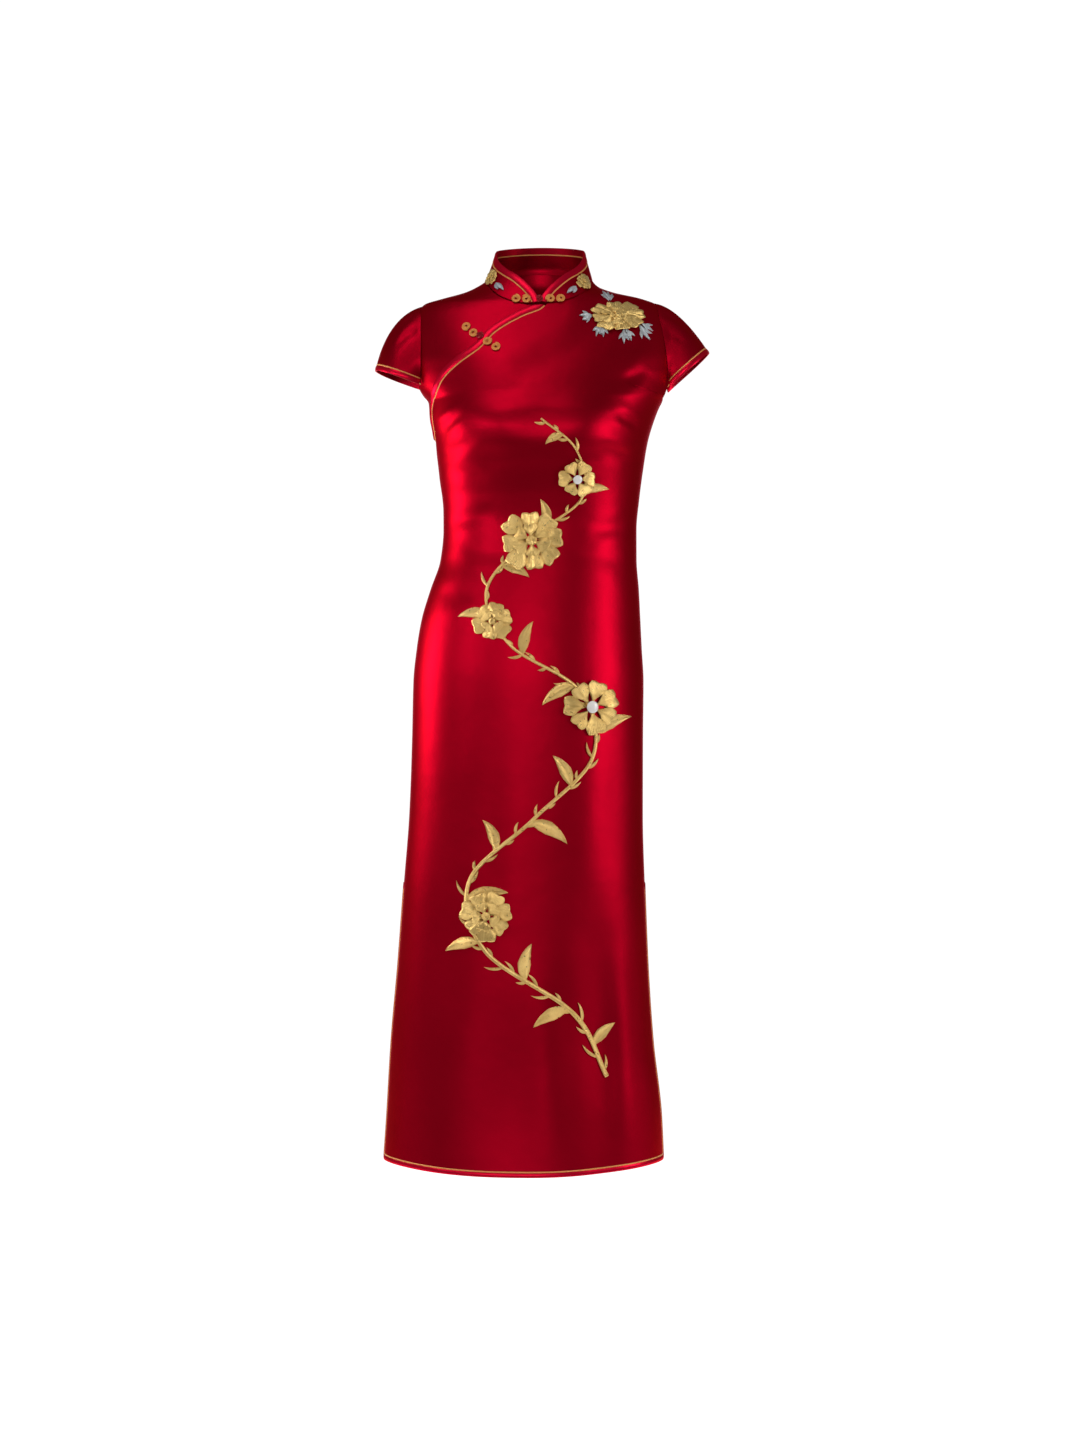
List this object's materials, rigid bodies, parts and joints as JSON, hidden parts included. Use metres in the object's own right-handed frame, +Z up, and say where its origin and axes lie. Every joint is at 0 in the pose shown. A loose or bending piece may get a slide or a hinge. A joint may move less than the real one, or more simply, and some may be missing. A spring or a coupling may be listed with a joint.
{
  "type": "cheongsam dress",
  "caption": "Long red satin cheongsam with a stand collar, cap sleeves, a slanted front opening with coiled frogs, side slits and raised gold flowers.",
  "frame": {"origin": "middle of the neck base, in the plane of the side seams, where the wearer or a dress form holds it", "axes": "+Z up along the dress, the front faces -Y, +X is the wearer's left"},
  "size_m": [0.4412, 0.254, 1.2209],
  "materials": {
    "satin": "glossy satin weave",
    "binding": "satin bias strip",
    "piping": "fine gold cord",
    "coil": "coiled gold cord",
    "gold": "metallic gold thread",
    "silver": "metallic silver thread",
    "pearl": "pearl gloss"
  },
  "bodies": {
    "root": {"front": "satin", "back": "satin", "under_front": "satin", "collar": "satin", "sleeve_left": "satin", "sleeve_right": "satin", "collar_binding": "binding", "opening_binding": "binding", "front_binding": "binding", "back_binding": "binding", "sleeve_binding_left": "binding", "sleeve_binding_right": "binding", "neck_knot": "binding", "chest_knot": "binding", "neck_loop": "binding", "chest_loop": "binding", "collar_piping": "piping", "opening_piping": "piping", "front_piping": "piping", "back_piping": "piping", "sleeve_piping_left": "piping", "sleeve_piping_right": "piping", "neck_coil_1": "coil", "neck_coil_2": "coil", "neck_coil_3": "coil", "neck_coil_4": "coil", "chest_coil_1": "coil", "chest_coil_2": "coil", "chest_coil_3": "coil", "chest_coil_4": "coil", "shoulder_flower_1": "gold", "shoulder_flower_2": "gold", "shoulder_flower_3": "gold", "collar_flower_left": "gold", "collar_flower_right": "gold", "ornament_vine": "gold", "ornament_bloom_1": "gold", "ornament_bloom_2": "gold", "ornament_bloom_3": "gold", "ornament_bloom_4": "gold", "ornament_bloom_5": "gold", "ornament_inner_1": "gold", "ornament_inner_3": "gold", "ornament_inner_4": "gold", "shoulder_leaf_1": "silver", "shoulder_leaf_2": "silver", "shoulder_leaf_3": "silver", "shoulder_leaf_4": "silver", "shoulder_leaf_5": "silver", "collar_leaf_left": "silver", "collar_leaf_right": "silver", "ornament_pearl_2": "pearl", "ornament_pearl_5": "pearl"}
  },
  "joints": []
}
